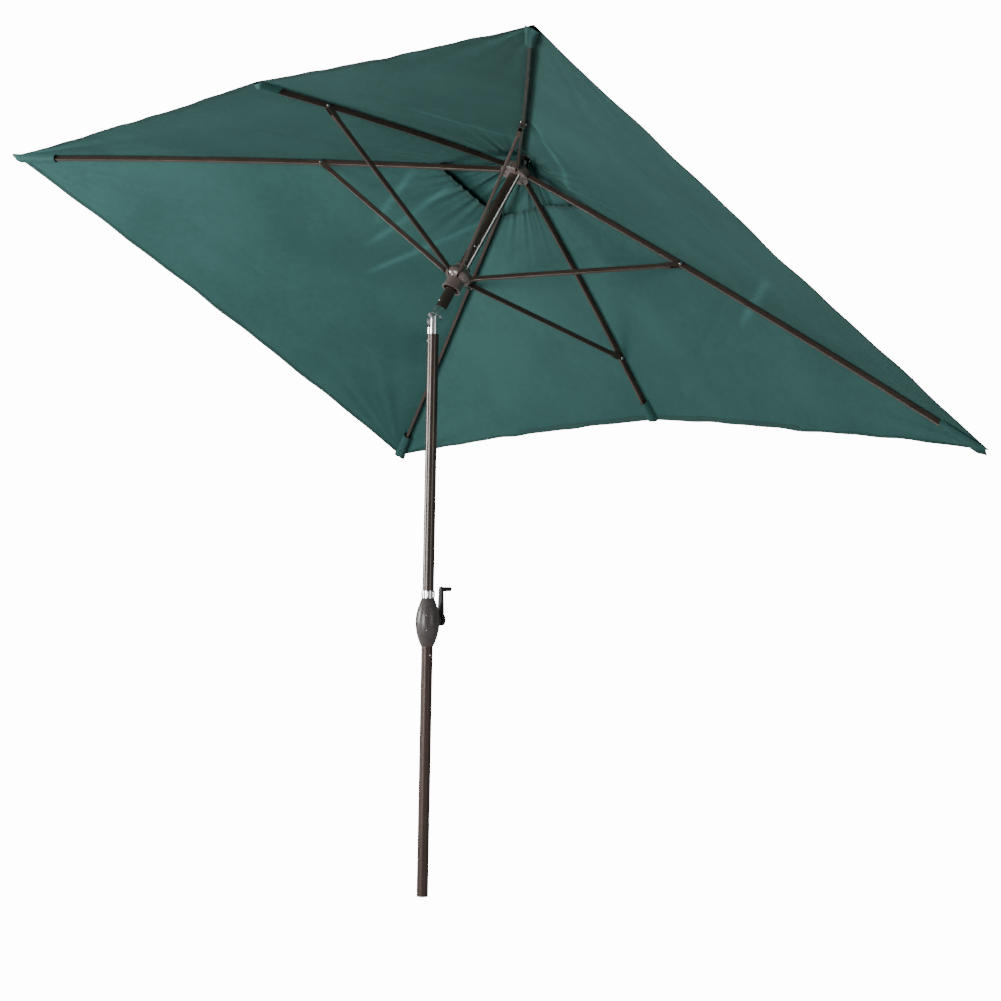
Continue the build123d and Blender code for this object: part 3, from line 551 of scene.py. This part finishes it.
for n, name in enumerate(NAMES):
    u = np.linspace(n - 0.5, n + 0.5, columns + 1)[None, :]
    t = np.linspace(0, 1, rows + 1)[:, None]
    f = VENT + (hem_share(u) - VENT) * t
    u = u + 0 * f
    points = leaned(canopy_points(u + 6, f))
    flat = ruled(u + 6, f)
    # Mask of the painted sheen along the sharp folds.
    glow = np.clip(sum(fold(flat, line) for line in SHARP), 0, 1)
    piece = grid_piece(f"cloth_{name}", points, cloth, CLOTH, -1, {"crease": glow})
    follow(piece, name)
    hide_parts(f"canopy_{name}")
    extras = []
    kind = "middle" if name.startswith("mid") else "corner"

    # hem: a folded band sewn under the cloth's edge
    band = np.linspace(0, 1, 6)[:, None]
    hem_f = hem_share(u[:1]) - HEM_W / np.hypot(*rib_values(name)[0]) * (1 - band)
    hem_u = u[:1] + 0 * hem_f
    under = canopy_points(hem_u + 6, hem_f)
    under[..., 2] -= HEM_UNDER
    hem = grid_piece(f"hem_{name}", leaned(under), tape, CLOTH, facing=-1)
    extras.append(hem)

    # vent hem: the same band round the vent's opening
    vent_f = VENT + VENT_HEM_SHARE * band + 0 * u[:1]
    under = canopy_points(u[:1] + 6 + 0 * vent_f, vent_f)
    under[..., 2] -= HEM_UNDER
    extras.append(grid_piece(f"vent_hem_{name}", leaned(under), tape, CLOTH, facing=-1))

    # pocket: the sleeve of cloth that holds the rib's tip
    end, drop, bow = rib_values(name)
    reach = np.hypot(*end)
    out = np.array([*(end / reach), 0.0])
    side = np.array([-out[1], out[0], 0.0])
    run = np.linspace(0, 1, 26)[:, None]
    pocket_f = 0.9985 - POCKET_LENGTH[kind] / reach * run
    ridge = rib_top(name, pocket_f[:, 0])[:, None, :]
    wide = POCKET_HALF_W + 0.005 * (1 - run[..., None]) ** 2
    across = np.linspace(-1, 1, 25)[None, :, None]
    belly = np.clip(1 - np.abs(across) ** 2.2, 0, 1) ** 0.6
    deep = POCKET_DEPTH - 0.014 * np.clip(1 - run[..., None] * 6, 0, 1)
    ends_down = np.abs(across) * wide * (0.30 if kind == "corner" else 0.06)
    sleeve = ridge + side * across * wide
    sleeve = sleeve - np.array([0, 0, 1.0]) * (belly * deep + ends_down + CLOTH)
    extras.append(grid_piece(f"pocket_{name}", leaned(sleeve), cloth, CLOTH, facing=-1))
    for extra in extras:
        follow(extra, name)

# ---------------------------------------------------------------- vent cap
# A second, small sheet of the same cloth above the opening, gathered in pleats at the top
# and clamped under the finial, with its own hem.
RIM = 0.25
CAP_LIFT = 0.014
TOP_R = 0.0205
TOP_Z = HUB + 0.064
cap_rows = 60
cap_columns = 540
u = np.linspace(0, 6, cap_columns + 1)[None, :] + 0 * np.zeros((cap_rows + 1, 1))
t = np.linspace(0, 1, cap_rows + 1)[:, None] + 0 * u
edge = ruled(u[-1:], np.full_like(u[-1:], RIM))
edge[..., 2] += CAP_LIFT
turn = np.arctan2(edge[..., 1], edge[..., 0])
crown = np.stack([TOP_R * np.cos(turn), TOP_R * np.sin(turn), 0 * turn + TOP_Z], -1)
cap = crown * (1 - t[..., None]) + edge * t[..., None]
pleat = np.cos(19 * turn) + 0.6 * np.cos(31 * turn + 1.0) + 0.25 * np.cos(57 * turn + 2.0)
swell = np.sin(np.pi * np.clip(t, 0, 1) ** 0.6)
cap[..., 2] += 0.0046 * pleat * swell * (1 - 0.6 * t)
s = u - np.floor(u)
cap[..., 2] -= 0.006 * 4 * s * (1 - s) * np.sin(np.pi * t)
# Painted highlight: the pleats' crests are paler, most towards the middle of the cap's height.
pale = np.clip(0.25 + 0.45 * pleat, 0, 1) * swell * 0.55
vent_cap = grid_piece("vent_cap", leaned(cap), cloth, CLOTH, -1, {"crease": pale})
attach(vent_cap, "mast")
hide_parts("canopy_vent")
cap_hem_t = np.linspace(0.93, 1.0, 5)[:, None, None]
cap_hem = cap[-1][None] * cap_hem_t + crown * (1 - cap_hem_t)
cap_hem[..., 2] -= HEM_UNDER
cap_band = grid_piece("vent_cap_hem", leaned(cap_hem), tape, CLOTH, facing=-1)
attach(cap_band, "mast")

# ---------------------------------------------------------------- studio
# A pale floor, soft boxes to the viewer's left, in front and above, and the viewpoint.
# Floor and backdrop show white to the viewer and light the umbrella only softly.
WHITE = 14.0
floor_mesh = bpy.data.meshes.new("floor")
floor_mesh.from_pydata([(-60, -60, 0), (60, -60, 0), (60, 60, 0), (-60, 60, 0)], [], [(0, 1, 2, 3)])
floor = bpy.data.objects.new("floor", floor_mesh)
bpy.context.collection.objects.link(floor)
ground = Surface("pale_floor", (0.72, 0.72, 0.72), 0.9)
glow = ground.tree.nodes.new("ShaderNodeEmission")
glow.inputs[0].default_value = (1.0, 1.0, 1.0, 1.0)
glow.inputs[1].default_value = WHITE
seen = ground.tree.nodes.new("ShaderNodeLightPath")
both = ground.tree.nodes.new("ShaderNodeMixShader")
ground.tree.links.new(seen.outputs["Is Camera Ray"], both.inputs[0])
ground.tree.links.new(ground.shader.outputs[0], both.inputs[1])
ground.tree.links.new(glow.outputs[0], both.inputs[2])
ground.tree.links.new(both.outputs[0], ground.tree.nodes["Material Output"].inputs[0])
floor_mesh.materials.append(ground.material)

world = bpy.data.worlds.new("studio")
bpy.context.scene.world = world
world.use_nodes = True
sky = world.node_tree
ambient = sky.nodes["Background"]
ambient.inputs[0].default_value = (1.0, 1.0, 1.0, 1.0)
ambient.inputs[1].default_value = 0.22
white = sky.nodes.new("ShaderNodeBackground")
white.inputs[0].default_value = (1.0, 1.0, 1.0, 1.0)
white.inputs[1].default_value = WHITE
seen = sky.nodes.new("ShaderNodeLightPath")
both = sky.nodes.new("ShaderNodeMixShader")
sky.links.new(seen.outputs["Is Camera Ray"], both.inputs[0])
sky.links.new(ambient.outputs[0], both.inputs[1])
sky.links.new(white.outputs[0], both.inputs[2])
sky.links.new(both.outputs[0], sky.nodes["World Output"].inputs[0])


def softbox(name, at, towards, size, watts):
    """A rectangular area light at a point, turned towards another."""
    lamp = bpy.data.lights.new(name, "AREA")
    lamp.shape = "RECTANGLE"
    lamp.size, lamp.size_y = size
    lamp.energy = watts
    made = bpy.data.objects.new(name, lamp)
    bpy.context.collection.objects.link(made)
    aim = Vector(towards) - Vector(at)
    made.rotation_euler = aim.to_track_quat("-Z", "Y").to_euler()
    made.location = at


softbox("left_box", (1.6, -6.2, 1.2), (0, 0, 1.9), (2.4, 3.4), 300)
softbox("low_box", (-2.4, -3.2, 1.5), (-1.0, -0.3, 2.4), (1.4, 1.4), 130)
softbox("top_box", (-2.0, 4.5, 6.5), (0, 0.5, 2.2), (3.0, 3.0), 40)
softbox("front_box", (7.4, 0.6, 1.6), (0, 0, 1.5), (2.0, 3.0), 45)

camera = bpy.data.cameras.new("viewpoint")
camera.sensor_width = 36.0
camera.lens = 36.0 * 2460 / 1001
camera.clip_end = 200.0
viewer = bpy.data.objects.new("viewpoint", camera)
bpy.context.collection.objects.link(viewer)
right = Vector((0.57382, 0.81876, 0.01937))
back = Vector((0.81892, -0.57391, -0.00057))
above = back.cross(right)
turned = Matrix((right, above, back)).transposed().to_4x4()
viewer.matrix_world = Matrix.Translation((6.716, -4.425, 1.294)) @ turned
bpy.context.scene.camera = viewer
